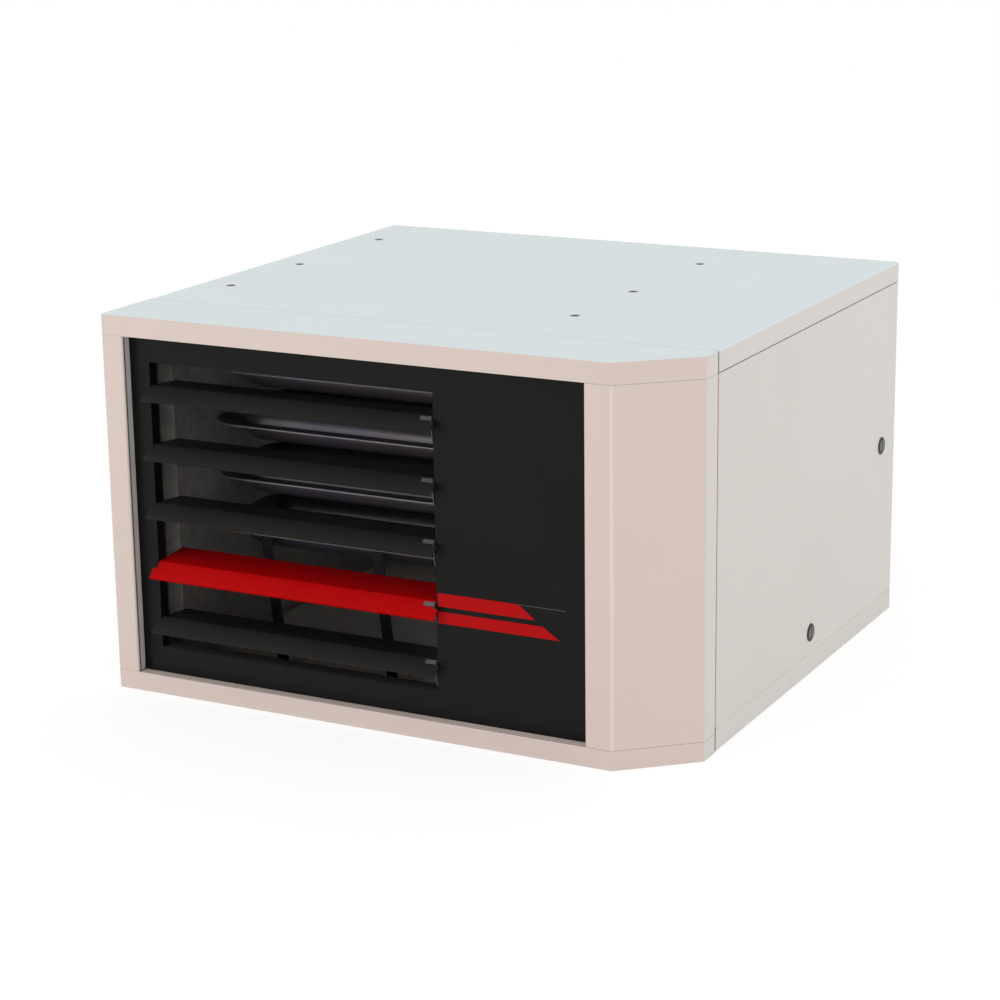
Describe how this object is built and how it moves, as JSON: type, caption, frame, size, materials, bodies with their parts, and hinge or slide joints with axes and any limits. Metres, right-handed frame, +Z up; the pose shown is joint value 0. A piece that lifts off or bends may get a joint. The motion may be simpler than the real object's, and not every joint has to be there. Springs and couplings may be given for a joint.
{
  "type": "gas unit heater",
  "caption": "Low ceiling-hung gas unit heater: sheet-steel cabinet with a cut front corner, adjustable louvers in a black front, rear fan, folded exchanger cells and a hinged service door.",
  "frame": {"origin": "middle of the cabinet's underside, not counting what stands out behind it", "axes": "+X to the right seen from the front, +Y from the louvered front to the rear, +Z up"},
  "size_m": [0.6916, 0.7113, 0.43],
  "materials": {
    "cabinet_paint": "fine satin powder coat, warm off-white",
    "top_paint": "fine satin powder coat, cool off-white",
    "black_paint": "satin black powder coat",
    "red_paint": "satin red powder coat",
    "stripe_film": "flat red film",
    "zinc_steel": "bright zinc-plated sheet",
    "aluminised_steel": "dull aluminised steel, heat-tinted",
    "dark_steel": "dark pipe steel",
    "valve_alloy": "die-cast aluminium",
    "fan_aluminium": "rolled aluminium",
    "motor_black": "black enamel",
    "guard_wire": "black coated wire",
    "black_plastic": "matt black plastic",
    "board_green": "green circuit board",
    "ivory_plastic": "ivory plastic",
    "ceramic": "white ceramic",
    "knob_red": "red moulded plastic"
  },
  "bodies": {
    "cabinet": {"base_pan": "cabinet_paint", "top_panel": "top_paint", "left_side_panel": "cabinet_paint", "rear_panel": "cabinet_paint", "partition_wall": "zinc_steel", "side_liner": "zinc_steel", "front_top_cap": "cabinet_paint", "front_bottom_cap": "cabinet_paint", "front_left_post": "cabinet_paint", "front_corner_post": "cabinet_paint", "louver_panel": "black_paint", "accent_stripes": "stripe_film", "exchanger_cell_1": "aluminised_steel", "exchanger_cell_2": "aluminised_steel", "exchanger_cell_3": "aluminised_steel", "exchanger_cell_4": "aluminised_steel", "exchanger_struts": "zinc_steel", "burner_box": "zinc_steel", "burners": "aluminised_steel", "gas_manifold": "dark_steel", "gas_valve": "valve_alloy", "gas_pipe": "dark_steel", "flame_rods": "ceramic", "flue_collector": "aluminised_steel", "inducer_housing": "zinc_steel", "inducer_motor": "motor_black", "flue_pipe": "zinc_steel", "pressure_switch": "black_plastic", "control_plate": "zinc_steel", "control_board": "board_green", "terminal_block": "ivory_plastic", "transformer": "dark_steel", "door_switch": "black_plastic", "fan_orifice": "zinc_steel", "fan_motor": "motor_black", "fan_guard": "guard_wire", "cable_bushing": "black_plastic", "hinge_set": "zinc_steel", "hanger_nuts": "zinc_steel", "panel_screws": "zinc_steel"},
    "service_door": {"service_door": "cabinet_paint", "fastener_bezels": "black_plastic"},
    "fastener_rear": {"fastener_rear": "zinc_steel"},
    "fastener_low": {"fastener_low": "zinc_steel"},
    "valve_knob": {"valve_knob": "knob_red"},
    "switch_plunger": {"switch_plunger": "ivory_plastic"},
    "fan": {"fan_blades": "fan_aluminium", "fan_shaft": "zinc_steel"},
    "inducer_rotor": {"inducer_wheel": "fan_aluminium", "inducer_shaft": "zinc_steel"},
    "louver_blade_1": {"louver_1": "black_paint", "louver_clip_1": "zinc_steel"},
    "louver_blade_2": {"louver_2": "red_paint", "louver_clip_2": "zinc_steel"},
    "louver_blade_3": {"louver_3": "black_paint", "louver_clip_3": "zinc_steel"},
    "louver_blade_4": {"louver_4": "black_paint", "louver_clip_4": "zinc_steel"},
    "louver_blade_5": {"louver_5": "black_paint", "louver_clip_5": "zinc_steel"}
  },
  "joints": [
    {"name": "louver_1_tilt", "type": "hinge", "parent": "cabinet", "child": "louver_blade_1", "pos_m": [-0.116, -0.3017, 0.078], "axis": [1, 0, 0], "range_deg": [-30, 45]},
    {"name": "louver_2_tilt", "type": "hinge", "parent": "cabinet", "child": "louver_blade_2", "pos_m": [-0.116, -0.3017, 0.1445], "axis": [1, 0, 0], "range_deg": [-40, 35]},
    {"name": "louver_3_tilt", "type": "hinge", "parent": "cabinet", "child": "louver_blade_3", "pos_m": [-0.116, -0.3017, 0.211], "axis": [1, 0, 0], "range_deg": [-30, 45]},
    {"name": "louver_4_tilt", "type": "hinge", "parent": "cabinet", "child": "louver_blade_4", "pos_m": [-0.116, -0.3017, 0.2775], "axis": [1, 0, 0], "range_deg": [-30, 45]},
    {"name": "louver_5_tilt", "type": "hinge", "parent": "cabinet", "child": "louver_blade_5", "pos_m": [-0.116, -0.3017, 0.344], "axis": [1, 0, 0], "range_deg": [-30, 45]},
    {"name": "door_hinge", "type": "hinge", "parent": "cabinet", "child": "service_door", "pos_m": [0.339, -0.2207, 0.2165], "axis": [0, 0, -1], "range_deg": [0, 90]},
    {"name": "fastener_rear_turn", "type": "hinge", "parent": "service_door", "child": "fastener_rear", "pos_m": [0.345, 0.2745, 0.2165], "axis": [-1, 0, 0], "range_deg": [0, 90]},
    {"name": "fastener_low_turn", "type": "hinge", "parent": "service_door", "child": "fastener_low", "pos_m": [0.345, 0.0483, 0.0505], "axis": [-1, 0, 0], "range_deg": [0, 90]},
    {"name": "valve_knob_turn", "type": "hinge", "parent": "cabinet", "child": "valve_knob", "pos_m": [0.2647, -0.0805, 0.08], "axis": [1, 0, 0], "range_deg": [0, 90]},
    {"name": "plunger_press", "type": "slide", "parent": "cabinet", "child": "switch_plunger", "axis": [1, 0, 0], "range_m": [-0.004, 0], "stiffness_N_per_m": 150, "springref_m": 0.002},
    {"name": "fan_spin", "type": "hinge", "parent": "cabinet", "child": "fan", "pos_m": [-0.12525, 0.2909, 0.215], "axis": [0, 1, 0], "continuous": true},
    {"name": "inducer_spin", "type": "hinge", "parent": "cabinet", "child": "inducer_rotor", "pos_m": [0.1347, 0.0335, 0.257], "axis": [1, 0, 0], "continuous": true}
  ]
}
